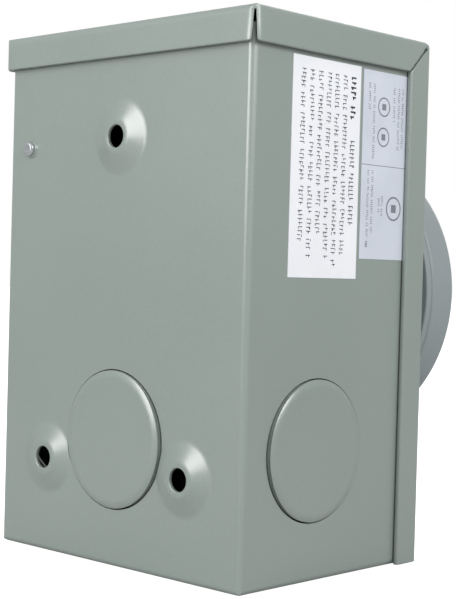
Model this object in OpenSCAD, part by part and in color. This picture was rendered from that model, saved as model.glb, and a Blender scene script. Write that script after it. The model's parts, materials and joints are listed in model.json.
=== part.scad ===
// Generator inlet box: a bent steel wall box with a lift-off rain cover and a flanged
// power inlet under a spring-closed flip lid.
// +Z is up, the inlet faces -Y, the wall is at +Y, and z = 0 is the bottom of the box.

/* [Box] */
// Height from the bottom to the top of the hood
box_h = 170; // [160:1:200]
// Outside width of the body
body_w = 111; // [106:1:130]
// Depth from the back panel to the front panel
box_d = 83; // [76:1:100]
// Sheet steel thickness
sheet = 1.5; // [1.2:0.1:1.8]
// Outside radius of the body's bends
body_bend_r = 2.2; // [2:0.1:4]
// Height of the lip that stands behind the foot of the cover
lip_h = 15; // [13:0.5:20]
// Gap between the body's rim and the hood
rim_gap = 3.5; // [0.5:0.5:5]

/* [Cover] */
// Gap between the body and the cover, all round
cover_gap = 0.5; // [0.4:0.1:1]
// Height of the hood's flange
hood_flange = 10.7; // [8:0.1:16]
// Depth of the cover's side flange
side_flange = 10.5; // [8:0.1:16]
// Outside radius of the hood's rear corners
corner_bend_r = 3.3; // [2.5:0.1:4]
// Outside radius of the bend between the hood and its rear flange
hood_bend_r = 2.6; // [2:0.1:4]
// Outside radius of the bend between the hood and the front panel
nose_bend_r = 5; // [3:0.5:8]
// Outside radius of the side flanges' folds
fold_r = 1.7; // [1.6:0.1:2.5]
// Width of the slit at each rear corner of the hood, at its foot
corner_slit = 1.7; // [1:0.1:2.4]
// Width of the mitre cut between the hood flange and the side flange
mitre_slit = 0.7; // [0.4:0.1:1.2]

/* [Wall mount] */
// Diameter of the three mounting holes
mount_hole_d = 7.1; // [5:0.1:8]
// Distance between the two lower holes
mount_pitch = 63; // [50:0.5:76]
// Height of the lower holes
mount_low_z = 31.2; // [25:0.1:40]
// Height of the upper hole
mount_high_z = 134.6; // [120:0.1:140]
// How far the pressed dimples stand out from the back panel
dimple_h = 2.4; // [2.2:0.1:3]
// Diameter of a dimple's foot
dimple_d = 25; // [22:0.5:28]
// Diameter of a dimple's flat crest
crest_d = 9; // [8.8:0.1:11]

/* [Knockouts] */
// Knockout diameter
knockout_d = 44; // [28:0.1:50]
// Height of the knockouts' centres
knockout_z = 40; // [36:0.5:50]
// Distance from the back panel to the side knockouts' centres
knockout_in = 32; // [28:0.5:40]
// How far the middle of a slug stands proud of its panel
slug_rise = 1; // [0.8:0.1:1.4]
// Crack between a slug and its panel
slug_gap = 0.4; // [0.2:0.05:0.5]

/* [Inlet] */
// Height of the inlet's centre
inlet_z = 88; // [80:1:100]
// Diameter of the inlet's flange and of its lid
flange_d = 102.8; // [92:0.2:104]
// Height of the seat that holds the flange off the panel
seat_h = 10.2; // [8:0.1:12]
// Thickness of the flange
flange_t = 2.8; // [2.4:0.1:5]
// Depth of the lid
lid_t = 13.4; // [11:0.1:18]
// Diameter of the recess that the cord connector enters
recess_d = 60.4; // [56:0.2:62]
// Depth of the contacts' face behind the front panel
recess_depth = 22; // [18:0.5:26]
// Radius of the circle of the three curved blades
blade_circle_r = 15; // [13:0.5:18]

/* [Hidden] */
$fn = 96;

steel_grey = "#9ca59e";
inlet_grey = "#8f989b";
carrier_black = "#26282a";
zinc = "#c3c6c8";
brass = "#c9a552";
rubber_black = "#1d1e1f";
ground_green = "#3f7d4a";
label_white = "#f2f4f5";
label_silver = "#c9cdd8";

eps = 0.01;
fit = 0.03;
lid_gap = 0.3;
lid_reach = seat_h + flange_t + lid_gap + lid_t;
back_y = (box_d + lid_reach - dimple_h) / 2;
front_y = back_y - box_d;
cover_out = cover_gap + sheet;
cover_w = body_w + 2 * cover_out;
cover_foot = 0.3;
body_top = box_h - sheet - rim_gap;
body_front = front_y + sheet + cover_gap;
cut = 1;
relief_w = 1.6;
slit_top_w = 0.6;
slit_start = 1.8;
slit_flare = 0.7;
slit_l = 8;
mitre_start = 3.4;
mitre_mouth = 1.3;
mitre_taper = 3;

press_t = 1.1;
rim_r = 0.4;
flank_steepness = 1.28;

knockout_r = knockout_d / 2;
slug_drop = 0.75;
slug_roll_deg = 32;
slug_tilt = 2;
slug_bridge_gap = 0.05;

ground_x = 44.3;
ground_z = 132.5;
ground_tip = 1.9;
ground_r = 2.4;
ground_washer_r = 4.8;
collar_r = 3.2;
collar_h = 0.6;
lug_size = [13, 2.2, 12];
lug_barrel_r = 5;
lug_wire_r = 3;
lug_screw_in = 1.5;
lug_foot_y = back_y - sheet - lug_size[1];
lug_barrel_y = lug_foot_y - lug_barrel_r + 1;
lug_barrel_z = ground_z - lug_size[2] / 2 - lug_barrel_r + 1;
ground_head_r = 4.4;
ground_head_h = 4;
slot_w = 0.9;

screw_z = 8;
screw_r = 2.05;
screw_clearance = 0.06;
screw_slot_w = 5.2;
screw_l = 12;
screw_head_r = 4;
screw_head_h = 2.4;
screw_lift = 0.3;
clip_size = [12, 10, 1];
clip_barrel_r = 3.6;
clip_barrel_h = 4;

label_t = 0.2;
warning_box = [17, 92.3, 49, 158];
rating_box = [50.4, 98.6, 73.2, 157.6];

flange_r = flange_d / 2;
seat_r = 46;
gasket_t = 1.2;
panel_hole_r = 36.5;
sleeve_r = 36;
recess_r = recess_d / 2;
shroud_t = 1;
shroud_front = 7;
carrier_r = 34;
carrier_back = 50;
sleeve_back = recess_depth + 2;
pocket_r = carrier_r - 5;
pocket_h = 16;
carrier_screw_x = 32.5;
carrier_screw_r = 1.25;
carrier_screw_l = 8;
carrier_head_r = 2.6;
carrier_head_h = 1.9;
carrier_seat = 27;
blade_t = 1.6;
blade_deg = 44;
blade_root = 12;
blade_tip = 0;
blade_hook = 4;
BLADE_ANGLES = [90, 210, 330];
pin_r = 3;
pin_tip = 1.4;
inlet_screw_circle_r = 41;
inlet_screw_r = 1.9;
inlet_head_r = 3.6;
inlet_head_h = 2.4;
inlet_head_z = seat_h + flange_t - inlet_head_h - 0.6;
inlet_screw_l = 16;
inlet_nut_r = 4;
inlet_nut_h = 3.15;
clamp_in = 3.9;
clamp_size = [1.6, 8.4, 8];
terminal_z = 10 - carrier_back;
terminal_screw_r = 1.6;
terminal_head_r = 3.4;

lid_wall = 2.2;
lid_edge_r = 3;
lid_rear_edge_r = 1.2;
lid_back = seat_h + flange_t + lid_gap;
lid_front = lid_back + lid_t;
seal_in_r = 31.8;
seal_out_r = 35.6;
seal_t = 3;

hinge_r = 3.6;
hinge_z = inlet_z + flange_r + hinge_r + 0.5;
hinge_d = lid_back - lid_gap / 2;
hinge_pin_r = 1.5;
ear_in = 9;
ear_out = 14;
knuckle_in = 4.6;
knuckle_out = ear_in - 0.3;
clip_t = 0.7;
spring_r = 3;
spring_wire_r = 0.4;
spring_leg = 7;
spring_leg_x = 3.6;
tab_size = [22, 3, 8];

// ---- helpers -------------------------------------------------------------------------

// Points of a circular arc from angle a0 to a1
function arc(c, r, a0, a1, steps = 8) =
    [for (i = [0 : steps]) c + r * [cos(a0 + (a1 - a0) * i / steps), sin(a0 + (a1 - a0) * i / steps)]];

// Radius inside a bend whose outside radius is r
function inside(r) = max(r - sheet, 0.1);

// Rectangle centred on X and standing on Y = 0; r holds its corners' radii, in the order
// low left, low right, high right, high left
module round_rect(w, h, r) {
    polygon([
        [-w / 2 + r[0], 0], [w / 2 - r[1], 0], [w / 2, r[1]], [w / 2, h - r[2]],
        [w / 2 - r[2], h], [-w / 2 + r[3], h], [-w / 2, h - r[3]], [-w / 2, r[0]]
    ]);
    translate([-w / 2 + r[0], r[0]]) circle(r[0]);
    translate([w / 2 - r[1], r[1]]) circle(r[1]);
    translate([w / 2 - r[2], h - r[2]]) circle(r[2]);
    translate([-w / 2 + r[3], h - r[3]]) circle(r[3]);
}

// Block with bent edges: it spans x = +-w/2, y[0] to y[1] and z[0] to z[1]; r holds the radii
// of its front corners, rear corners, foot, top sides, top rear and top front
module bent_block(w, y, z, r) {
    deep = y[1] - y[0];
    high = z[1] - z[0];
    intersection() {
        translate([0, y[0], z[0]]) linear_extrude(high) round_rect(w, deep, [r[0], r[0], r[1], r[1]]);
        translate([0, y[1], z[0]]) rotate([90, 0, 0]) linear_extrude(deep)
            round_rect(w, high, [r[2], r[2], r[3], r[3]]);
        translate([-w / 2, (y[0] + y[1]) / 2, z[0]]) rotate([90, 0, 90]) linear_extrude(w)
            round_rect(deep, high, [r[2], r[2], r[4], r[5]]);
    }
}

// Place children on the inlet's axis, local Z pointing out of the front panel
module at_inlet() translate([0, front_y, inlet_z]) rotate([90, 0, 0]) children();

// Place children on the lid's hinge axis, local Z along +X
module at_hinge() translate([0, front_y - hinge_d, hinge_z]) rotate([0, 90, 0]) children();

// Place children on each of four spots round the inlet's axis, turned to face outwards
module at_four(r, first = 45) for (a = [0 : 3]) rotate(first + 90 * a) translate([r, 0, 0]) children();

// Place children on the two carrier screws' axes
module at_two() for (a = [0, 180]) rotate(a) translate([carrier_screw_x, 0, 0]) children();

// Place children at each mounting hole, local Z pointing at the wall
module at_mounts()
    for (p = [[0, mount_high_z], [-mount_pitch / 2, mount_low_z], [mount_pitch / 2, mount_low_z]])
        translate([p[0], back_y, p[1]]) rotate([-90, 0, 0]) children();

module at_back_knockout() translate([0, back_y, knockout_z]) rotate([-90, 0, 0]) children();

module at_side_knockout(side)
    translate([side * body_w / 2, back_y - knockout_in, knockout_z]) rotate([0, side * 90, 0]) children();

module at_bottom_knockout() translate([0, back_y - box_d / 2, 0]) rotate([180, 0, 0]) children();

// Place children on the back panel at the ground screw, local Z pointing at the wall
module at_ground() translate([ground_x, back_y, ground_z]) rotate([-90, 0, 0]) children();

// Place children on the front panel at the foot screw, local Z pointing forwards
module at_foot_screw() translate([0, front_y, screw_z]) rotate([90, 0, 0]) children();

module tube(r_out, r_in, h) difference() {
    cylinder(r = r_out, h = h);
    translate([0, 0, -1]) cylinder(r = r_in, h = h + 2);
}

// Driver slot to cut in a head of radius r whose face is at height h
module slot(r, h, deep) translate([-r - cut, -slot_w / 2, h - deep])
    cube([2 * (r + cut), slot_w, deep + cut]);

// Driver cross to cut in a face at height h
module cross(r, h, deep) for (a = [0, 90]) rotate(a)
    translate([-r, -slot_w / 2, h - deep]) cube([2 * r, slot_w, deep + cut]);

// ---- body ----------------------------------------------------------------------------

// Mounting dimple pressed out of the back panel, thinned and with a rolled hole: its foot
// curls out of the panel on one arc, runs straight, and rolls over to the crest on another
module dimple() {
    hole_r = mount_hole_d / 2;
    run = (dimple_d - crest_d) / 2;
    slope = atan(flank_steepness * dimple_h / run);
    both_r = (flank_steepness - 1) * dimple_h / (1 / cos(slope) - 1);
    roll_r = both_r * 0.45;
    curl_r = both_r - roll_r;
    foot = [dimple_d / 2, curl_r];
    crest = [crest_d / 2, dimple_h - roll_r];
    rotate_extrude() polygon(concat(
        [[foot[0] + 0.5, 0]],
        arc(foot, curl_r, -90, -90 - slope),
        arc(crest, roll_r, 90 - slope, 90),
        arc([hole_r + rim_r, dimple_h - rim_r], rim_r, 90, 180, 4),
        [[hole_r, dimple_h - press_t]],
        arc(crest, roll_r - press_t, 90, 90 - slope),
        arc(foot, curl_r + sheet, -90 - slope, -90),
        [[foot[0] + 0.5, -sheet]]
    ));
}

// Body shell: back, two sides, bottom and front lip, open at the top and above the lip
module body_shell() {
    inner_w = body_w - 2 * sheet;
    outer = [for (bend = [1 : 6]) body_bend_r];
    inner = [for (bend = [1 : 6]) inside(body_bend_r)];
    difference() {
        bent_block(body_w, [body_front, back_y], [0, box_h], outer);
        bent_block(inner_w, [body_front + sheet, back_y - sheet], [sheet, box_h + 5], inner);
        translate([-body_w, front_y, body_top]) cube([2 * body_w, box_d + 2, box_h]);
        // The sides run forward square; only the lip closes the front
        translate([-body_w, front_y, lip_h])
            cube([2 * body_w, body_front + body_bend_r - front_y, box_h]);
        // Relief gaps at the ends of the lip
        for (x = [-1, 1])
            translate([x * (inner_w - relief_w) / 2 - relief_w / 2, front_y, body_bend_r])
                cube([relief_w, body_front + sheet + cut - front_y, lip_h]);
        at_mounts() translate([0, 0, -sheet - cut]) cylinder(d = dimple_d + cut, h = sheet + 2 * cut);
    }
    // The sides' front edges, above the lip
    for (x = [-1, 1])
        translate([x * (body_w - sheet) / 2 - sheet / 2, body_front, lip_h])
            cube([sheet, body_bend_r, body_top - lip_h]);
}

// Body with its dimples, knockout holes and the collar of the ground screw
module back_box() color(steel_grey) difference() {
    union() {
        body_shell();
        at_mounts() dimple();
        at_ground() translate([0, 0, -eps])
            cylinder(r1 = collar_r, r2 = collar_r - collar_h / 2, h = collar_h);
    }
    at_back_knockout() knockout_hole();
    for (side = [-1, 1]) at_side_knockout(side) knockout_hole();
    at_bottom_knockout() knockout_hole();
    at_ground() translate([0, 0, -sheet - cut])
        cylinder(r = ground_r + fit, h = sheet + collar_h + 2 * cut);
    at_foot_screw() translate([0, 0, -2 * sheet - cover_gap - cut])
        cylinder(d = screw_slot_w, h = sheet + 2 * cut);
}

module knockout_hole() translate([0, 0, -sheet - cut])
    cylinder(r = knockout_r, h = sheet + 2 * cut + dimple_h);

// Lanced slug that fills a knockout: bridge is the direction of the side that holds it, where it
// lies flush, and it tilts up from there to its rolled rim on the other side
module slug(rise, bridge = 0, tilt = slug_tilt) rotate(bridge) {
    r = knockout_r - slug_gap;
    roll_r = slug_drop / (1 - cos(slug_roll_deg));
    translate([slug_gap - slug_bridge_gap, 0, 0]) {
        rotate([0, tilt, 0]) rotate_extrude() polygon(concat(
            [[0, -sheet / 2], [r - 0.2, -sheet / 2]],
            arc([r - roll_r * sin(slug_roll_deg), rise - roll_r], roll_r, 90 - slug_roll_deg, 90),
            [[0, rise]]
        ));
        translate([0, 0, -sheet]) cylinder(r = r, h = sheet);
    }
}

module back_knockout() color(steel_grey) at_back_knockout() slug(slug_rise);
module left_knockout() color(steel_grey) at_side_knockout(-1) slug(slug_rise, -90);
module right_knockout() color(steel_grey) at_side_knockout(1) slug(slug_rise, -90);
// Flush, so that the box stands flat
module bottom_knockout() color(steel_grey) at_bottom_knockout() translate([0, 0, -sheet])
    cylinder(r = knockout_r - slug_gap, h = sheet);

// Lay-in lug for the ground wire, with its foot on the back panel
module ground_lug() color(zinc) difference() {
    union() {
        translate([ground_x - lug_size[0] / 2, lug_foot_y, ground_z - lug_size[2] / 2 - 2])
            cube([lug_size[0], lug_size[1], lug_size[2] + 2]);
        translate([ground_x - lug_size[0] / 2, lug_barrel_y - lug_barrel_r, lug_barrel_z - lug_barrel_r])
            cube([lug_size[0], 2 * lug_barrel_r, 2 * lug_barrel_r]);
    }
    translate([ground_x, back_y, ground_z]) rotate([90, 0, 0]) cylinder(r = ground_r + 0.1, h = 10);
    translate([ground_x - lug_size[0], lug_barrel_y, lug_barrel_z]) rotate([0, 90, 0])
        cylinder(r = lug_wire_r, h = 2 * lug_size[0]);
    translate([ground_x, lug_barrel_y + 1, lug_barrel_z]) rotate([90, 0, 0])
        cylinder(r = ground_r + 0.02, h = 2 * lug_barrel_r);
}

// Hexagon-head ground screw, in from the inside, its tip showing behind the back panel
module ground_screw() color(ground_green) translate([ground_x, lug_foot_y, ground_z]) {
    length = sheet + lug_size[1] + ground_tip;
    rotate([90, 0, 0]) difference() {
        union() {
            cylinder(r = ground_washer_r, h = 0.9);
            cylinder(r = ground_head_r, h = ground_head_h, $fn = 6);
        }
        slot(ground_head_r, ground_head_h, 1.2);
    }
    rotate([-90, 0, 0]) {
        cylinder(r = ground_r, h = length - 0.6);
        translate([0, 0, length - 0.6]) cylinder(r1 = ground_r, r2 = ground_r - 0.6, h = 0.6);
    }
}

// Slotted screw that clamps the ground wire in its lug
module lug_screw() color(zinc)
    translate([ground_x, lug_barrel_y - lug_screw_in, lug_barrel_z]) rotate([90, 0, 0]) difference() {
        cylinder(r = ground_r, h = lug_barrel_r + 2.5);
        slot(ground_r, lug_barrel_r + 2.5, 1.2);
    }

// Spring-steel clip on the lip that the cover screw threads into
module clip_nut() color(zinc)
    translate([0, body_front + sheet + 0.05, screw_z]) rotate([-90, 0, 0]) difference() {
        union() {
            translate([-clip_size[0] / 2, -clip_size[1] / 2, 0]) cube(clip_size);
            cylinder(r = clip_barrel_r, h = clip_barrel_h);
        }
        translate([0, 0, -cut]) cylinder(r = screw_r + screw_clearance, h = clip_barrel_h + 2 * cut);
    }

// Pan-head screw that holds the foot of the cover; it slides out as it is undone
module cover_screw() color(zinc) translate([0, front_y - screw_lift, screw_z]) {
    rotate([90, 0, 0]) difference() {
        rotate_extrude() polygon(concat(
            [[0, 0], [screw_head_r, 0]],
            arc([screw_head_r - 1.4, 1], 1.4, 0, 90),
            [[0, screw_head_h]]
        ));
        cross(screw_head_r - 1.8, screw_head_h, 1.2);
    }
    translate([0, -eps, 0]) rotate([-90, 0, 0]) cylinder(r = screw_r, h = screw_l);
}

// Sticker on the left side; place is [from the back, low z, to, high z]
module label(place)
    translate([-body_w / 2 - label_t, back_y - place[2], place[1]])
        cube([label_t, place[2] - place[0], place[3] - place[1]]);

module warning_label() color(label_white) label(warning_box);
module rating_label() color(label_silver) label(rating_box);

// ---- cover ---------------------------------------------------------------------------

// Side outline of the cover's flanges: hood above, front flange down the front
module flange_outline() {
    translate([front_y, box_h - hood_flange]) square([box_d + cover_out, hood_flange]);
    translate([front_y, cover_foot]) square([side_flange, box_h - cover_foot]);
}

// Slit down a rear corner of the hood, wider at its foot, where the flange ends' lower corners
// are rounded; local X runs across the corner
module corner_slit_cut() {
    foot = slit_start - hood_flange;
    flare_x = corner_slit / 2 + slit_flare;
    translate([0, slit_l / 2, 0]) rotate([90, 0, 0]) linear_extrude(slit_l) polygon(concat(
        [[-slit_top_w / 2, 0], [slit_top_w / 2, 0]],
        arc([flare_x, foot + slit_flare], slit_flare, 180, 270, 4),
        [[flare_x, foot - cut], [-flare_x, foot - cut]],
        arc([-flare_x, foot + slit_flare], slit_flare, -90, 0, 4)
    ));
}

// Mitre cut between the hood flange and the side flange, with a mouth that tapers
module mitre_cut() linear_extrude(2 * sheet + 2 * cut, center = true) polygon([
    [mitre_start, mitre_mouth / 2], [mitre_start + mitre_taper, mitre_slit / 2],
    [2 * side_flange, mitre_slit / 2], [2 * side_flange, -mitre_slit / 2],
    [mitre_start + mitre_taper, -mitre_slit / 2], [mitre_start, -mitre_mouth / 2]
]);

// Front panel, hood and flanges, bent from one sheet; the hood hooks over the back panel
module cover() color(steel_grey) difference() {
    intersection() {
        bent_block(cover_w, [front_y, back_y + cover_out], [-cover_w, box_h],
            [fold_r, corner_bend_r, fold_r, fold_r, hood_bend_r, nose_bend_r]);
        translate([-cover_w / 2, 0, 0]) rotate([90, 0, 90]) linear_extrude(cover_w) flange_outline();
    }
    bent_block(cover_w - 2 * sheet, [front_y + sheet, back_y + cover_gap], [-cover_w, box_h - sheet],
        [inside(fold_r), inside(corner_bend_r), inside(fold_r), inside(fold_r), inside(hood_bend_r),
         inside(nose_bend_r)]);
    for (x = [-1, 1]) {
        translate([x * (cover_w / 2 - sheet), back_y + cover_gap, box_h - slit_start])
            rotate(-x * 45) corner_slit_cut();
        translate([x * (cover_w - sheet) / 2, front_y, box_h]) rotate([0, 90, 0]) rotate(45) mitre_cut();
    }
    at_inlet() translate([0, 0, -sheet - cut]) {
        cylinder(r = panel_hole_r, h = sheet + 2 * cut);
        at_four(inlet_screw_circle_r) cylinder(r = inlet_screw_r + 0.2, h = sheet + 2 * cut);
    }
    // Open slot, so the cover lifts off once its screw is slack
    at_foot_screw() translate([0, 0, -sheet - cut]) linear_extrude(sheet + 2 * cut) {
        circle(d = screw_slot_w);
        translate([-screw_slot_w / 2, -screw_z - cut]) square([screw_slot_w, screw_z + cut]);
    }
}

// ---- inlet ---------------------------------------------------------------------------

module inlet_gasket() color(rubber_black) at_inlet() difference() {
    tube(seat_r, panel_hole_r + 0.5, gasket_t);
    at_four(inlet_screw_circle_r) translate([0, 0, -1]) cylinder(r = inlet_screw_r + 0.2, h = 4);
}

// Moulded flange, seat and sleeve, with the hinge ears on top
module inlet_base() color(inlet_grey) difference() {
    union() {
        at_inlet() rotate_extrude() polygon(concat(
            [[recess_r, -sleeve_back], [sleeve_r, -sleeve_back], [sleeve_r, gasket_t],
             [seat_r, gasket_t], [seat_r - 1.5, seat_h], [flange_r - 0.6, seat_h]],
            arc([flange_r - 0.6, seat_h + 0.6], 0.6, -90, 0, 4),
            arc([flange_r - 0.6, seat_h + flange_t - 0.6], 0.6, 0, 90, 4),
            [[recess_r, seat_h + flange_t]]
        ));
        for (x = [-1, 1]) {
            at_hinge() translate([0, 0, x > 0 ? ear_in : -ear_out])
                cylinder(r = hinge_r, h = ear_out - ear_in);
            translate([x > 0 ? ear_in : -ear_out, front_y - seat_h - flange_t, hinge_z - 12])
                cube([ear_out - ear_in, flange_t, 12]);
        }
    }
    at_hinge() translate([0, 0, -20]) cylinder(r = hinge_pin_r + 0.02, h = 40);
    at_inlet() at_four(inlet_screw_circle_r) {
        cylinder(r = inlet_screw_r + 0.1, h = 20);
        translate([0, 0, inlet_head_z]) cylinder(r = inlet_head_r + 0.4, h = 5);
    }
    at_inlet() at_two() translate([0, 0, -sleeve_back - cut]) cylinder(r = carrier_screw_r + 0.05, h = 8);
}

// Metal shroud that lines the recess round the blades
module shroud_ring() color(zinc) at_inlet()
    translate([0, 0, -recess_depth])
        tube(recess_r - 0.05, recess_r - shroud_t, recess_depth + shroud_front);

// Insulating body that holds the contacts, with a wiring pocket for each terminal
module contact_carrier() color(carrier_black) at_inlet() difference() {
    union() {
        translate([0, 0, -carrier_back]) cylinder(r = carrier_r, h = carrier_back - sleeve_back - 0.05);
        translate([0, 0, -recess_depth - 3]) cylinder(r = recess_r - 0.1, h = 3 - 0.05);
    }
    at_four(pocket_r) translate([-4, -5, -carrier_back - cut]) cube([12, 10, pocket_h + cut]);
    for (a = BLADE_ANGLES) rotate(a) blade_solid(0.05);
    translate([0, 0, -recess_depth - blade_root]) cylinder(r = pin_r + 0.05, h = 20);
    at_two() {
        translate([0, 0, -carrier_back - cut]) cylinder(r = carrier_screw_r + 0.2, h = carrier_back);
        translate([0, 0, -carrier_back - cut])
            cylinder(r = carrier_head_r + 0.3, h = carrier_back + cut - carrier_seat);
    }
}

// Two screws that hold the carrier to the sleeve, put in from behind
module carrier_screws() color(zinc) at_inlet() at_two() translate([0, 0, -carrier_seat - 0.05]) {
    translate([0, 0, -eps]) cylinder(r = carrier_screw_r, h = carrier_screw_l);
    rotate([180, 0, 0]) difference() {
        cylinder(r = carrier_head_r, h = carrier_head_h);
        slot(carrier_head_r, carrier_head_h, 0.9);
    }
}

// Curved blade with its locking hook, grown by g on every side of its cross-section
module blade_solid(g = 0) {
    back = -recess_depth - blade_root;
    half = blade_deg / 2 + g * 4;
    translate([0, 0, back]) rotate(-half) rotate_extrude(angle = 2 * half)
        translate([blade_circle_r - blade_t / 2 - g, 0])
            square([blade_t + 2 * g, blade_tip - back - blade_hook]);
    if (g == 0) {
        translate([0, 0, blade_tip - blade_hook - eps]) rotate(-half) rotate_extrude(angle = half * 1.2)
            translate([blade_circle_r - blade_t / 2, 0]) square([blade_t, blade_hook]);
    }
}

module blade(a) color(brass) at_inlet() rotate(a) blade_solid();
module blade_x() blade(BLADE_ANGLES[0]);
module blade_y() blade(BLADE_ANGLES[1]);
module blade_w() blade(BLADE_ANGLES[2]);

// Ground pin; it stands ahead of the blades, so it meets its contact first
module ground_pin() color(brass) at_inlet() {
    translate([0, 0, -recess_depth - blade_root]) cylinder(r = pin_r, h = recess_depth + blade_root - 1);
    translate([0, 0, -1 - eps]) cylinder(r1 = pin_r, r2 = pin_tip, h = 1 + pin_tip);
}

// Pressure plates that clamp the wires, one in each pocket
module terminal_clamps() color(brass) at_inlet() at_four(pocket_r) difference() {
    translate([-clamp_in, -clamp_size[1] / 2, terminal_z - clamp_size[2] / 2]) cube(clamp_size);
    translate([-clamp_in - cut, 0, terminal_z]) rotate([0, 90, 0])
        cylinder(r = terminal_screw_r + 0.1, h = clamp_size[0] + 2 * cut);
}

module terminal_screws() color(zinc) at_inlet() at_four(pocket_r)
    translate([-clamp_in, 0, terminal_z]) rotate([0, 90, 0]) difference() {
        union() {
            cylinder(r = terminal_screw_r, h = 4);
            translate([0, 0, 2]) cylinder(r = terminal_head_r, h = 2.6);
        }
        slot(terminal_head_r, 4.6, 1);
    }

// Four screws through the flange, gasket and panel
module inlet_screws() color(zinc) at_inlet() at_four(inlet_screw_circle_r) translate([0, 0, inlet_head_z]) {
    difference() {
        cylinder(r = inlet_head_r, h = inlet_head_h);
        cross(2, inlet_head_h, 1.2);
    }
    translate([0, 0, -inlet_screw_l]) cylinder(r = inlet_screw_r, h = inlet_screw_l + eps);
}

module inlet_nuts() color(zinc) at_inlet() at_four(inlet_screw_circle_r)
    translate([0, 0, -sheet - inlet_nut_h - 0.05]) difference() {
        cylinder(r = inlet_nut_r, h = inlet_nut_h, $fn = 6);
        translate([0, 0, -cut]) cylinder(r = inlet_screw_r + 0.02, h = inlet_nut_h + 2 * cut);
    }

module hinge_pin() color(zinc) at_hinge()
    translate([0, 0, -ear_out - 1.6]) cylinder(r = hinge_pin_r, h = 2 * ear_out + 3.2);

module hinge_clips() color(zinc) at_hinge() for (z = [-ear_out - clip_t - 0.1, ear_out + 0.1])
    translate([0, 0, z]) tube(2.7, hinge_pin_r + 0.02, clip_t);

// Torsion spring on the hinge pin, one leg behind the flange and one inside the lid
module lid_spring() color(zinc) {
    at_hinge() translate([0, 0, -knuckle_in + 0.3])
        tube(spring_r + spring_wire_r, spring_r - spring_wire_r, 2 * knuckle_in - 0.6);
    for (leg = [[-spring_leg_x, -spring_r - 0.45], [spring_leg_x, spring_r]])
        translate([leg[0], front_y - hinge_d - leg[1], hinge_z - spring_leg])
            cylinder(r = spring_wire_r, h = spring_leg, $fn = 24);
}

// ---- lid -----------------------------------------------------------------------------

// Drum-shaped lid with a knuckle on top and a finger tab at the bottom
module lid() color(inlet_grey) difference() {
    union() {
        at_inlet() rotate_extrude() polygon(concat(
            [[seal_in_r - 1.6, lid_back + seal_t], [seal_out_r + 1.6, lid_back + seal_t],
             [seal_out_r + 1.6, lid_front - lid_wall], [flange_r - lid_wall, lid_front - lid_wall],
             [flange_r - lid_wall, lid_back]],
            arc([flange_r - lid_rear_edge_r, lid_back + lid_rear_edge_r], lid_rear_edge_r, -90, 0, 4),
            arc([flange_r - lid_edge_r, lid_front - lid_edge_r], lid_edge_r, 0, 90),
            [[0, lid_front], [0, lid_front - lid_wall], [seal_in_r - 1.6, lid_front - lid_wall]]
        ));
        for (x = [-1, 1]) {
            low = x > 0 ? knuckle_in : -knuckle_out;
            at_hinge() translate([0, 0, low]) cylinder(r = hinge_r, h = knuckle_out - knuckle_in);
            translate([low, front_y - hinge_d - hinge_r, hinge_z - 8])
                cube([knuckle_out - knuckle_in, hinge_r - 0.2, 8]);
        }
        translate([-tab_size[0] / 2, front_y - lid_back - 8, inlet_z - flange_r - tab_size[2] / 2])
            cube(tab_size);
    }
    at_hinge() translate([0, 0, -20]) cylinder(r = hinge_pin_r + 0.06, h = 40);
    // Notch for the spring's leg
    translate([-knuckle_in, front_y - lid_back - 5, inlet_z + flange_r - 6]) cube([2 * knuckle_in, 6, 12]);
}

module lid_seal() color(rubber_black) at_inlet()
    translate([0, 0, lid_back]) tube(seal_out_r, seal_in_r, seal_t - 0.02);

// ---- assembly ------------------------------------------------------------------------

back_box();
back_knockout();
left_knockout();
right_knockout();
bottom_knockout();
ground_lug();
ground_screw();
lug_screw();
clip_nut();
warning_label();
rating_label();
cover_screw();
cover();
inlet_gasket();
inlet_base();
shroud_ring();
contact_carrier();
carrier_screws();
blade_x();
blade_y();
blade_w();
ground_pin();
terminal_clamps();
terminal_screws();
inlet_screws();
inlet_nuts();
hinge_pin();
hinge_clips();
lid_spring();
lid();
lid_seal();
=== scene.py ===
"""Looks of the generator inlet box: materials, worn edges, printed labels, studio and camera.

Everything is in metres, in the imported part's own frame: +Z up, the wall at +Y, the inlet facing -Y.
"""

import json
import math
import random

import bmesh
import bpy
from mathutils import Matrix, Vector


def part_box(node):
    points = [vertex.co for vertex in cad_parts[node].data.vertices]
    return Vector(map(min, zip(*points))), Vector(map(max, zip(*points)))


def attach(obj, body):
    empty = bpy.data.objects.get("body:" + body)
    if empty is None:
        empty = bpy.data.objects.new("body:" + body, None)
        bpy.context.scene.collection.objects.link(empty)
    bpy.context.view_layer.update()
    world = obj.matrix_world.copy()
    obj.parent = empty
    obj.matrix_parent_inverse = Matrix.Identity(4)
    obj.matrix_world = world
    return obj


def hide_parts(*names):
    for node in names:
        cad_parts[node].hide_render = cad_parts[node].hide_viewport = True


MM = 0.001

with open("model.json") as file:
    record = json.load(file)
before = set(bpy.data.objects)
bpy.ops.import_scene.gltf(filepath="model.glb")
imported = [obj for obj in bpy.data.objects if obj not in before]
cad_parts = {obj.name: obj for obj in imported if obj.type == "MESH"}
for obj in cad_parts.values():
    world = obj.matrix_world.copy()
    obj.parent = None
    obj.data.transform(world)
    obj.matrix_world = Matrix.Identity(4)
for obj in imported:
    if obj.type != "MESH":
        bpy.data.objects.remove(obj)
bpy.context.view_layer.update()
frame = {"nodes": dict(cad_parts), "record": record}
nodes = frame["nodes"]


# ---- shaders -----------------------------------------------------------------------------

BEVEL_SAMPLES = 12
# The middle of a noise, where nearly all its values lie
NOISE_LOW = 0.3
NOISE_HIGH = 0.7


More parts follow.
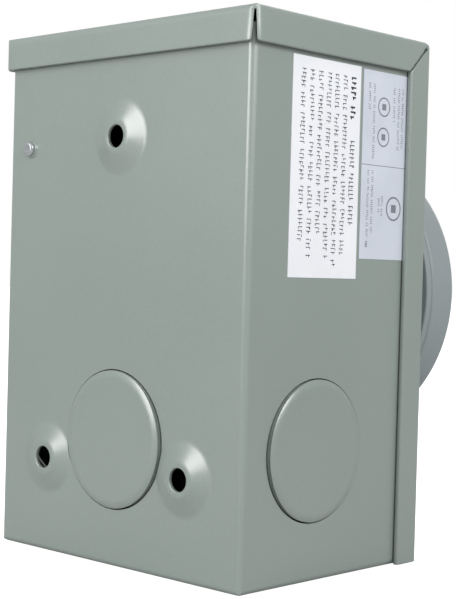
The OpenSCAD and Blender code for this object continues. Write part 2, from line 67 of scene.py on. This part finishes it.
class Shader:
    """A new node material and short calls for the nodes that every finish here uses."""

    def __init__(self, name):
        self.material = bpy.data.materials.new(name)
        self.material.use_nodes = True
        self.tree = self.material.node_tree
        self.surface = self.tree.nodes["Principled BSDF"]
        self.place = self.add("ShaderNodeTexCoord").outputs["Object"]

    def add(self, kind):
        return self.tree.nodes.new(kind)

    def link(self, source, target):
        self.tree.links.new(source, target)

    def set(self, **values):
        """Sets the shader's own sockets: Base_Color means the one named Base Color."""
        for name, value in values.items():
            self.surface.inputs[name.replace("_", " ")].default_value = value

    def stretched(self, scale):
        """The object's coordinates, scaled by a different amount along each axis."""
        mapping = self.add("ShaderNodeMapping")
        mapping.inputs["Scale"].default_value = scale
        self.link(self.place, mapping.inputs["Vector"])
        return mapping.outputs["Vector"]

    def noise(self, size, detail=2.0, place=None):
        """Noise with features about size metres across."""
        node = self.add("ShaderNodeTexNoise")
        node.inputs["Scale"].default_value = 1.0 / size
        node.inputs["Detail"].default_value = detail
        node.inputs["Roughness"].default_value = 0.5
        self.link(place or self.place, node.inputs["Vector"])
        return node.outputs["Fac"]

    def ranged(self, value, low, high, from_low=NOISE_LOW, from_high=NOISE_HIGH):
        """Maps from_low..from_high of a value onto low..high."""
        node = self.add("ShaderNodeMapRange")
        node.inputs["From Min"].default_value = from_low
        node.inputs["From Max"].default_value = from_high
        node.inputs["To Min"].default_value = low
        node.inputs["To Max"].default_value = high
        self.link(value, node.inputs["Value"])
        return node.outputs["Result"]

    def patches(self, size, detail=2.0, from_low=NOISE_LOW, from_high=NOISE_HIGH):
        """Soft patches from 0 to 1, about size metres across."""
        return self.ranged(self.noise(size, detail), 0.0, 1.0, from_low, from_high)

    def mixed(self, share, first, second):
        """A colour between first and second; each is a colour or another node's output."""
        node = self.add("ShaderNodeMix")
        node.data_type = "RGBA"
        self.link(share, node.inputs["Factor"])
        for socket, colour in ((node.inputs[6], first), (node.inputs[7], second)):
            if isinstance(colour, tuple):
                socket.default_value = (*colour, 1.0)
            else:
                self.link(colour, socket)
        return node.outputs[2]

    def colour(self, share, first, second):
        """Mixes the base colour from first to second."""
        self.link(self.mixed(share, first, second), self.surface.inputs["Base Color"])

    def roughness(self, pattern, low, high):
        """Varies the roughness from low to high with a noise."""
        self.link(self.ranged(pattern, low, high), self.surface.inputs["Roughness"])

    def rounded(self, radius):
        """A normal that turns smoothly over every edge, within the radius."""
        node = self.add("ShaderNodeBevel")
        node.samples = BEVEL_SAMPLES
        node.inputs["Radius"].default_value = radius
        return node.outputs["Normal"]

    def bumps(self, *layers, base=None):
        """Stacks bump layers, each (height output, depth in metres), on a base normal."""
        normal = base
        for height, depth in layers:
            node = self.add("ShaderNodeBump")
            node.inputs["Strength"].default_value = 1.0
            node.inputs["Distance"].default_value = depth
            self.link(height, node.inputs["Height"])
            if normal:
                self.link(normal, node.inputs["Normal"])
            normal = node.outputs["Normal"]
        self.link(normal, self.surface.inputs["Normal"])


# ---- finishes ----------------------------------------------------------------------------

# Each pair is two colours, or the lowest and the highest roughness
COAT_EVEN = ((0.247, 0.292, 0.265), (0.259, 0.305, 0.277))
COAT_SPECK = ((0.229, 0.272, 0.246), (0.241, 0.285, 0.258))
COAT_ROUGHNESS = (0.28, 0.33)
COAT_LEVEL = 1.0
COAT_IOR = 1.62
COAT_PEEL_DEPTH = 0.006 * MM
COAT_GRAIN_DEPTH = 0.002 * MM
# How far the coat rounds over the cover's sheared edges
COAT_ROLLED = 0.7 * MM

RUBBER = ((0.014, 0.014, 0.015), (0.030, 0.030, 0.031))
RUBBER_ROUGHNESS = (0.62, 0.8)

GREEN = ((0.05, 0.26, 0.09), (0.10, 0.38, 0.15))
ZINC = ((0.50, 0.52, 0.54), (0.66, 0.67, 0.69))
ZINC_ROUGHNESS = (0.26, 0.38)
# How much of the ground screw stands out behind the back panel, and the length its dye fades over
GROUND_TIP = 2.1 * MM
DYE_FADE = 0.2 * MM

# Scratches are long along the axis whose coordinate is scaled down
ALONG_X = (0.1, 1.0, 1.0)
ALONG_Y = (1.0, 0.1, 1.0)
ALONG_Z = (1.0, 1.0, 0.1)
EVERY_WAY = (1.0, 1.0, 1.0)


def powder_coat(name, rolled=None):
    """Grey-green powder coat: fine orange peel, slightly uneven gloss and tone.

    rolled is how far the coat rounds over sheared edges.
    """
    s = Shader(name)
    tone = s.patches(60 * MM, detail=3.0)
    speck = s.patches(0.5 * MM, detail=1.0, from_low=0.35, from_high=0.65)
    even = s.mixed(tone, *COAT_EVEN)
    dark = s.mixed(tone, *COAT_SPECK)
    s.colour(speck, dark, even)
    s.roughness(s.noise(25 * MM, detail=4.0), *COAT_ROUGHNESS)
    s.set(Specular_IOR_Level=COAT_LEVEL, IOR=COAT_IOR)
    peel = (s.noise(1.6 * MM, detail=1.5), COAT_PEEL_DEPTH)
    grain = (s.noise(0.35 * MM, detail=1.0), COAT_GRAIN_DEPTH)
    s.bumps(peel, grain, base=s.rounded(rolled) if rolled else None)
    return s.material


def moulded(name, dark, light, roughness):
    """Moulded plastic with a fine spark-eroded grain."""
    s = Shader(name)
    s.colour(s.patches(35 * MM), dark, light)
    s.roughness(s.noise(8 * MM, detail=3.0), roughness - 0.04, roughness + 0.05)
    s.bumps((s.noise(0.25 * MM), 0.006 * MM))
    return s.material


def metal(name, dark, light, roughness, stretch):
    """Plated or rolled metal with faint stains and fine scratches."""
    s = Shader(name)
    s.colour(s.patches(4 * MM, detail=3.0), dark, light)
    scratches = s.noise(0.4 * MM, detail=3.0, place=s.stretched(stretch))
    s.roughness(scratches, roughness - 0.07, roughness + 0.1)
    s.set(Metallic=1.0)
    s.bumps((scratches, 0.004 * MM))
    return s.material


def rubber(name):
    """Matt rubber with a dusty bloom."""
    s = Shader(name)
    s.colour(s.patches(5 * MM, detail=4.0), *RUBBER)
    s.roughness(s.noise(2 * MM), *RUBBER_ROUGHNESS)
    s.bumps((s.noise(0.4 * MM, detail=3.0), 0.01 * MM))
    return s.material


def film(name, dark, light, roughness, metallic=0.0):
    """Printed label film, with the slightest ripple from its glue."""
    s = Shader(name)
    s.colour(s.patches(15 * MM), dark, light)
    s.roughness(s.noise(6 * MM), roughness - 0.05, roughness + 0.05)
    s.set(Metallic=metallic)
    s.bumps((s.noise(5 * MM), 0.01 * MM))
    return s.material


def green_zinc(name):
    """Green dyed zinc, worn to bare metal at the tip that stands out behind the back panel."""
    s = Shader(name)
    tone = s.patches(2 * MM, detail=3.0)
    axes = s.add("ShaderNodeSeparateXYZ")
    s.link(s.place, axes.inputs["Vector"])
    panel_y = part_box("ground_screw")[1].y - GROUND_TIP
    bare = s.ranged(axes.outputs["Y"], 0.0, 1.0, panel_y, panel_y + DYE_FADE)
    s.colour(bare, s.mixed(tone, *GREEN), s.mixed(tone, *ZINC))
    s.roughness(s.noise(0.8 * MM), *ZINC_ROUGHNESS)
    s.set(Metallic=1.0)
    s.bumps((s.noise(0.5 * MM), 0.004 * MM))
    return s.material


# Each (slot, dark colour, light colour, roughness), then scratches or how metallic it is
PLASTICS = (
    ("inlet_plastic", (0.248, 0.283, 0.290), (0.266, 0.301, 0.308), 0.42),
    ("black_phenolic", (0.016, 0.016, 0.018), (0.030, 0.030, 0.032), 0.48),
)
METALS = (
    ("brass_contact", (0.62, 0.43, 0.17), (0.80, 0.60, 0.28), 0.30, ALONG_Y),
    ("tinned_metal", (0.55, 0.56, 0.57), (0.72, 0.73, 0.74), 0.34, ALONG_Z),
    ("zinc_steel", (0.50, 0.52, 0.54), (0.74, 0.75, 0.77), 0.24, EVERY_WAY),
    ("spring_steel", (0.36, 0.36, 0.37), (0.52, 0.52, 0.53), 0.32, ALONG_X),
)
FILMS = (
    ("white_label", (0.80, 0.81, 0.84), (0.84, 0.85, 0.88), 0.38),
    ("silver_label", (0.64, 0.68, 0.76), (0.71, 0.75, 0.83), 0.34, 0.25),
)

# By material slot
MATERIALS = {
    "powder_coat": powder_coat("powder_coat"),
    "black_rubber": rubber("black_rubber"),
    "green_zinc": green_zinc("green_zinc"),
    **{row[0]: moulded(*row) for row in PLASTICS},
    **{row[0]: metal(*row) for row in METALS},
    **{row[0]: film(*row) for row in FILMS},
}
# By node, where it isn't the slot's own: the coat lies thick on the cover's sheared edges
NODE_MATERIALS = {"cover": powder_coat("powder_coat_thick", rolled=COAT_ROLLED)}

BLACK_INK = film("label_ink", (0.030, 0.032, 0.036), (0.060, 0.062, 0.068), 0.45)
GREY_INK = film("label_grey_ink", (0.16, 0.17, 0.20), (0.22, 0.23, 0.26), 0.45)


# ---- CAD nodes: materials and softened edges ---------------------------------------------

# Width of the rounded edges, by material slot
EDGE_WIDTH = {
    "powder_coat": 0.04 * MM,
    "inlet_plastic": 0.13 * MM,
    "black_phenolic": 0.13 * MM,
    "zinc_steel": 0.12 * MM,
    "tinned_metal": 0.12 * MM,
    "brass_contact": 0.12 * MM,
    "green_zinc": 0.12 * MM,
}
EDGE_SEGMENTS = 3
SHARP_ANGLE = math.radians(35.0)
# Points nearer than this are one point, and faces within this angle are one flat
SAME_POINT = 0.001 * MM
SAME_FLAT = math.radians(0.3)
NORMAL_WEIGHT = 80

# The cover's side flanges: how far back from its front they reach, and their rolled free edges
SIDE_FLANGE = 10.5 * MM
FREE_EDGES = "free_edges"
ROLLED_WIDTH = 0.8 * MM
ROLLED_SEGMENTS = 5
NEAR = 0.02 * MM


def roll_free_edges(node):
    """Rounds the edges in the node's FREE_EDGES group by more than its other edges."""
    roll = node.modifiers.new("rolled_edges", "BEVEL")
    roll.width = ROLLED_WIDTH
    roll.segments = ROLLED_SEGMENTS
    roll.limit_method = "VGROUP"
    roll.vertex_group = FREE_EDGES
    roll.use_clamp_overlap = False


def soften(node, width):
    """Rounds a node's sharp edges a little, as paint, plating or moulding does."""
    weld = node.modifiers.new("weld", "WELD")
    weld.merge_threshold = SAME_POINT
    flatten = node.modifiers.new("flatten", "DECIMATE")
    flatten.decimate_type = "DISSOLVE"
    flatten.angle_limit = SAME_FLAT
    if FREE_EDGES in node.vertex_groups:
        roll_free_edges(node)
    bevel = node.modifiers.new("edges", "BEVEL")
    bevel.width = width
    bevel.segments = EDGE_SEGMENTS
    bevel.limit_method = "ANGLE"
    bevel.angle_limit = SHARP_ANGLE
    bevel.use_clamp_overlap = True
    bevel.harden_normals = False
    normals = node.modifiers.new("normals", "WEIGHTED_NORMAL")
    normals.keep_sharp = False
    normals.weight = NORMAL_WEIGHT


def group_free_edges(cover):
    """Gathers the outer corner of both side flanges' free edges, where the coat lies thick."""
    low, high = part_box("cover")
    edge_y = low.y + SIDE_FLANGE
    on_edge = []
    for vertex in cover.data.vertices:
        outer = abs(abs(vertex.co.x) - high.x) < NEAR
        if outer and abs(vertex.co.y - edge_y) < NEAR:
            on_edge.append(vertex.index)
    cover.vertex_groups.new(name=FREE_EDGES).add(on_edge, 1.0, "REPLACE")


for row in frame["record"]["subparts"]:
    part = nodes[row["node"]]
    slot = row["material_slot"]
    part.data.materials.clear()
    part.data.materials.append(NODE_MATERIALS.get(row["node"], MATERIALS[slot]))
    if row["node"] == "cover":
        group_free_edges(part)
    if slot in EDGE_WIDTH:
        soften(part, EDGE_WIDTH[slot])


# ---- generic printing on the labels ------------------------------------------------------

# Every size in this section is in millimetres: across from a label's front edge, down from its top
INK_HEIGHT = 0.02

# Styles of a line; word is the fewest and the most strokes in a group
HEADING = {"height": 2.5, "stroke": 0.52, "pitch": 1.5, "word": (4, 7)}
SUBHEADING = {"height": 2.4, "stroke": 0.30, "pitch": 1.25, "word": (3, 9)}
BODY = {"height": 2.2, "stroke": 0.26, "pitch": 1.2, "word": (3, 9)}
SMALL = {"height": 1.1, "stroke": 0.16, "pitch": 0.66, "word": (2, 7)}
SMALL_BOLD = {"height": 1.2, "stroke": 0.3, "pitch": 0.7, "word": (3, 3)}

# Lines of the warning label, each (across, start, end, style)
WARNING_SEED = 3
WARNING_LINES = (
    (3.6, 3.7, 17.4, HEADING),
    (3.6, 23.3, 50.2, SUBHEADING),
    (7.5, 3.7, 58.7, BODY),
    (11.4, 3.7, 62.4, BODY),
    (15.3, 3.7, 60.4, BODY),
    (19.2, 3.7, 53.0, BODY),
    (23.1, 3.7, 60.5, BODY),
    (27.2, 3.7, 54.9, BODY),
)

# Lines of the rating label, each (across, start, end, style)
RATING_SEED = 8
RATING_LINES = (
    (2.6, 4.3, 23.8, SMALL),
    (4.6, 4.4, 24.2, SMALL),
    (7.0, 4.2, 15.4, SMALL),
    (17.2, 4.1, 27.8, SMALL),
    (19.6, 4.0, 12.9, SMALL),
    (12.0, 39.0, 45.9, SMALL),
    (13.7, 39.8, 44.4, SMALL),
    (17.2, 31.2, 50.9, SMALL),
    (19.4, 31.2, 53.0, SMALL),
    (19.4, 53.4, 55.5, SMALL_BOLD),
)
# Round marks of the rating label, each (across, down, radius), with a square in the middle
RATING_RINGS = (
    (12.2, 10.9, 2.85),
    (12.2, 20.4, 2.85),
    (5.9, 42.7, 3.6),
)
RING_STROKE = 0.34
RING_STEPS = 48
RING_OVERLAP = 0.05
# Half the square's side, as a share of its ring's radius
SQUARE_SHARE = 0.35
# The rule between the label's two halves
RULE_DOWN = 29.4
RULE_STROKE = 0.22


def print_bars(name, label_node, bars, material):
    """Prints plain bars on a left-side label; each bar is (from y, low z, to y, high z) in metres."""
    face_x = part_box(label_node)[0].x - INK_HEIGHT * MM
    mesh = bmesh.new()
    for y0, z0, y1, z1 in bars:
        corners = ((y0, z0), (y0, z1), (y1, z1), (y1, z0))
        mesh.faces.new([mesh.verts.new((face_x, y, z)) for y, z in corners])
    data = bpy.data.meshes.new(name)
    mesh.to_mesh(data)
    mesh.free()
    data.materials.append(material)
    piece = bpy.data.objects.new(name, data)
    bpy.context.scene.collection.objects.link(piece)
    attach(piece, "enclosure")
    return piece


class Sheet:
    """A label's face, and the bars that are to be printed on it."""

    def __init__(self, label_node, seed):
        self.low, self.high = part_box(label_node)
        self.chance = random.Random(seed)
        self.bars = []

    def bar(self, across, down, wide, long):
        """A plain bar; across and down are its first corner."""
        y = self.low.y + across * MM
        z = self.high.z - down * MM
        self.bars.append((y, z, y + wide * MM, z - long * MM))

    def line(self, across, start, end, height, stroke, pitch, word):
        """A line of made-up strokes in word-like groups; across is the line's middle."""
        down = start
        left = self.chance.randint(*word)
        while down < end - pitch / 2:
            if left == 0:
                left = self.chance.randint(*word)
            else:
                left -= 1
                self.glyph(across, down, height, stroke, pitch)
            down += pitch

    def glyph(self, across, down, height, stroke, pitch):
        """A stem with one or two strokes across it, all drawn at random."""
        tall = height * self.chance.uniform(0.62, 1.0)
        shift = self.chance.choice((0.0, height - tall))
        self.bar(across - height / 2 + shift, down, tall, stroke)
        for _ in range(self.chance.choice((1, 1, 2))):
            at = self.chance.uniform(0.0, height - stroke)
            reach = pitch * self.chance.uniform(0.55, 0.72)
            self.bar(across - height / 2 + at, down, stroke, reach)

    def ring(self, across, down, radius):
        """A round outline made of short tiles."""
        tile = max(2 * math.pi * radius / RING_STEPS + RING_OVERLAP, RING_STROKE)
        for step in range(RING_STEPS):
            angle = 2 * math.pi * step / RING_STEPS
            left = across + radius * math.cos(angle) - tile / 2
            top = down + radius * math.sin(angle) - tile / 2
            self.bar(left, top, tile, tile)


def warning_print():
    """The white label's print: a heading and six lines."""
    sheet = Sheet("warning_label", WARNING_SEED)
    for across, start, end, style in WARNING_LINES:
        sheet.line(across, start, end, **style)
    return print_bars("warning_print", "warning_label", sheet.bars, BLACK_INK)


def rating_print():
    """The silver label's print: small lines, round marks and a rule."""
    sheet = Sheet("rating_label", RATING_SEED)
    for across, start, end, style in RATING_LINES:
        sheet.line(across, start, end, **style)
    for across, down, radius in RATING_RINGS:
        sheet.ring(across, down, radius)
        half = SQUARE_SHARE * radius
        sheet.bar(across - half, down - half, 2 * half, 2 * half)
    width = (sheet.high.y - sheet.low.y) / MM
    sheet.bar(0.0, RULE_DOWN, width, RULE_STROKE)
    return print_bars("rating_print", "rating_label", sheet.bars, GREY_INK)


warning_print()
rating_print()


# ---- wound spring ------------------------------------------------------------------------

SPRING_WIRE_R = 0.4 * MM
SPRING_TURNS = 7
SPRING_LEG = 7 * MM
# Points on each turn of the coil, an even number
TURN_STEPS = 24


def helix(start, end, radius, turns):
    """Points of a coil round the X axis from start to end; it begins at its lowest point."""
    points = []
    count = turns * TURN_STEPS
    for step in range(count + 1):
        share = step / count
        angle = 2 * math.pi * turns * share - math.pi / 2
        middle = start.lerp(end, share)
        points.append(middle + Vector((0.0, radius * math.cos(angle), radius * math.sin(angle))))
    return points


def wire(name, points, radius, material):
    """A round wire along the points."""
    curve = bpy.data.curves.new(name, "CURVE")
    curve.dimensions = "3D"
    curve.bevel_depth = radius
    curve.bevel_resolution = 3
    line = curve.splines.new("POLY")
    line.points.add(len(points) - 1)
    for spot, point in zip(line.points, points):
        spot.co = (*point, 1.0)
    curve.materials.append(material)
    piece = bpy.data.objects.new(name, curve)
    bpy.context.scene.collection.objects.link(piece)
    return piece


def wound_spring():
    """The lid's torsion spring: a coil on the hinge pin with a leg at each end."""
    low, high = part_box("lid_spring")
    pin_low, pin_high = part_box("hinge_pin")
    axis = (pin_low + pin_high) / 2
    radius = high.z - axis.z - SPRING_WIRE_R
    start = Vector((low.x + SPRING_WIRE_R, axis.y, axis.z))
    end = Vector((high.x - SPRING_WIRE_R, axis.y, axis.z))
    half_turn = TURN_STEPS // 2
    coil = helix(start, end, radius, SPRING_TURNS)[half_turn:-half_turn]
    rear_leg = Vector((start.x, high.y - SPRING_WIRE_R, axis.z - SPRING_LEG))
    front_leg = Vector((end.x, low.y + SPRING_WIRE_R, axis.z - SPRING_LEG))
    points = [rear_leg, *coil, front_leg]
    piece = wire("wound_spring", points, SPRING_WIRE_R, MATERIALS["spring_steel"])
    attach(piece, "cover")
    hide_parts("lid_spring")


wound_spring()


# ---- studio ------------------------------------------------------------------------------

WHITE = (1.0, 1.0, 1.0, 1.0)

FLOOR_RADIUS = 6.0
FLOOR_SEGMENTS = 96
FLOOR_GAP = 0.3 * MM
FLOOR_COLOURS = ((0.50, 0.50, 0.50), (0.52, 0.52, 0.52))
FLOOR_PATCH = 0.4
FLOOR_GLOW = 1.0

ROOM_COLOUR = (0.97, 0.985, 1.0, 1.0)
ROOM_STRENGTH = 0.5

# How far the softboxes stand from the middle
STUDIO_RADIUS = 0.8

CAMERA_PLACE = Vector((-0.3296, 0.3499, 0.0934))
# Clockwise from +Y, seen from above
CAMERA_HEADING = math.radians(136.45)
CAMERA_TILT = math.radians(-1.12)
CAMERA_ROLL = math.radians(1.58)
SENSOR_WIDTH = 36.0
LENS = 85.0


def floor():
    """Plain floor, mid grey to the box and the lights.

    Only to the camera does it glow white, so it runs into the background without a line.
    """
    mesh = bmesh.new()
    bmesh.ops.create_circle(mesh, cap_ends=True, radius=FLOOR_RADIUS, segments=FLOOR_SEGMENTS)
    data = bpy.data.meshes.new("floor")
    mesh.to_mesh(data)
    mesh.free()
    s = Shader("pale_floor")
    s.colour(s.noise(FLOOR_PATCH), *FLOOR_COLOURS)
    s.set(Roughness=0.9, Specular_IOR_Level=0.1, Emission_Color=WHITE)
    seen = s.add("ShaderNodeLightPath").outputs["Is Camera Ray"]
    glow = s.ranged(seen, 0.0, FLOOR_GLOW, 0.0, 1.0)
    s.link(glow, s.surface.inputs["Emission Strength"])
    data.materials.append(s.material)
    piece = bpy.data.objects.new("floor", data)
    piece.location.z = -FLOOR_GAP
    bpy.context.scene.collection.objects.link(piece)


def sky():
    """Even white room light; the camera sees it as pure white."""
    world = bpy.data.worlds.new("studio")
    bpy.context.scene.world = world
    world.use_nodes = True
    tree = world.node_tree
    room = tree.nodes["Background"]
    room.inputs["Color"].default_value = ROOM_COLOUR
    room.inputs["Strength"].default_value = ROOM_STRENGTH
    seen = tree.nodes.new("ShaderNodeBackground")
    seen.inputs["Color"].default_value = WHITE
    paths = tree.nodes.new("ShaderNodeLightPath")
    mix = tree.nodes.new("ShaderNodeMixShader")
    tree.links.new(paths.outputs["Is Camera Ray"], mix.inputs["Fac"])
    tree.links.new(room.outputs["Background"], mix.inputs[1])
    tree.links.new(seen.outputs["Background"], mix.inputs[2])
    tree.links.new(mix.outputs["Shader"], tree.nodes["World Output"].inputs["Surface"])


def camera():
    """Looks at the back and left side from just above half height, with a slight roll."""
    level_share = math.cos(CAMERA_TILT)
    ahead = Vector((
        math.sin(CAMERA_HEADING) * level_share,
        math.cos(CAMERA_HEADING) * level_share,
        math.sin(CAMERA_TILT),
    ))
    level = Vector((math.cos(CAMERA_HEADING), -math.sin(CAMERA_HEADING), 0.0))
    upright = level.cross(ahead)
    right = math.cos(CAMERA_ROLL) * level + math.sin(CAMERA_ROLL) * upright
    up = math.cos(CAMERA_ROLL) * upright - math.sin(CAMERA_ROLL) * level
    data = bpy.data.cameras.new("camera")
    data.sensor_width = SENSOR_WIDTH
    data.lens = LENS
    data.dof.use_dof = False
    rig = bpy.data.objects.new("camera", data)
    axes = Matrix((right, up, -ahead)).transposed().to_4x4()
    rig.matrix_world = Matrix.Translation(CAMERA_PLACE) @ axes
    bpy.context.scene.collection.objects.link(rig)
    bpy.context.scene.camera = rig


def softbox(name, heading, wide, low, high, power):
    """An upright softbox that stands STUDIO_RADIUS away towards heading, in degrees from +X."""
    light = bpy.data.lights.new(name, "AREA")
    light.shape = "RECTANGLE"
    light.size = wide
    light.size_y = high - low
    light.energy = power
    lamp = bpy.data.objects.new(name, light)
    turn = math.radians(heading)
    place = Vector((math.cos(turn), math.sin(turn), 0.0)) * STUDIO_RADIUS
    lamp.location = place + Vector((0.0, 0.0, (low + high) / 2))
    lamp.rotation_euler = (-place).to_track_quat("-Z", "Z").to_euler()
    bpy.context.scene.collection.objects.link(lamp)


floor()
sky()
camera()
softbox("left_box", heading=78.3, wide=0.46, low=0.14, high=0.95, power=6.0)
softbox("right_box", heading=173.3, wide=0.36, low=0.14, high=0.95, power=6.1)
softbox("front_box", heading=-70.0, wide=0.5, low=0.3, high=0.9, power=2.4)
bpy.context.scene.view_settings.view_transform = "Standard"
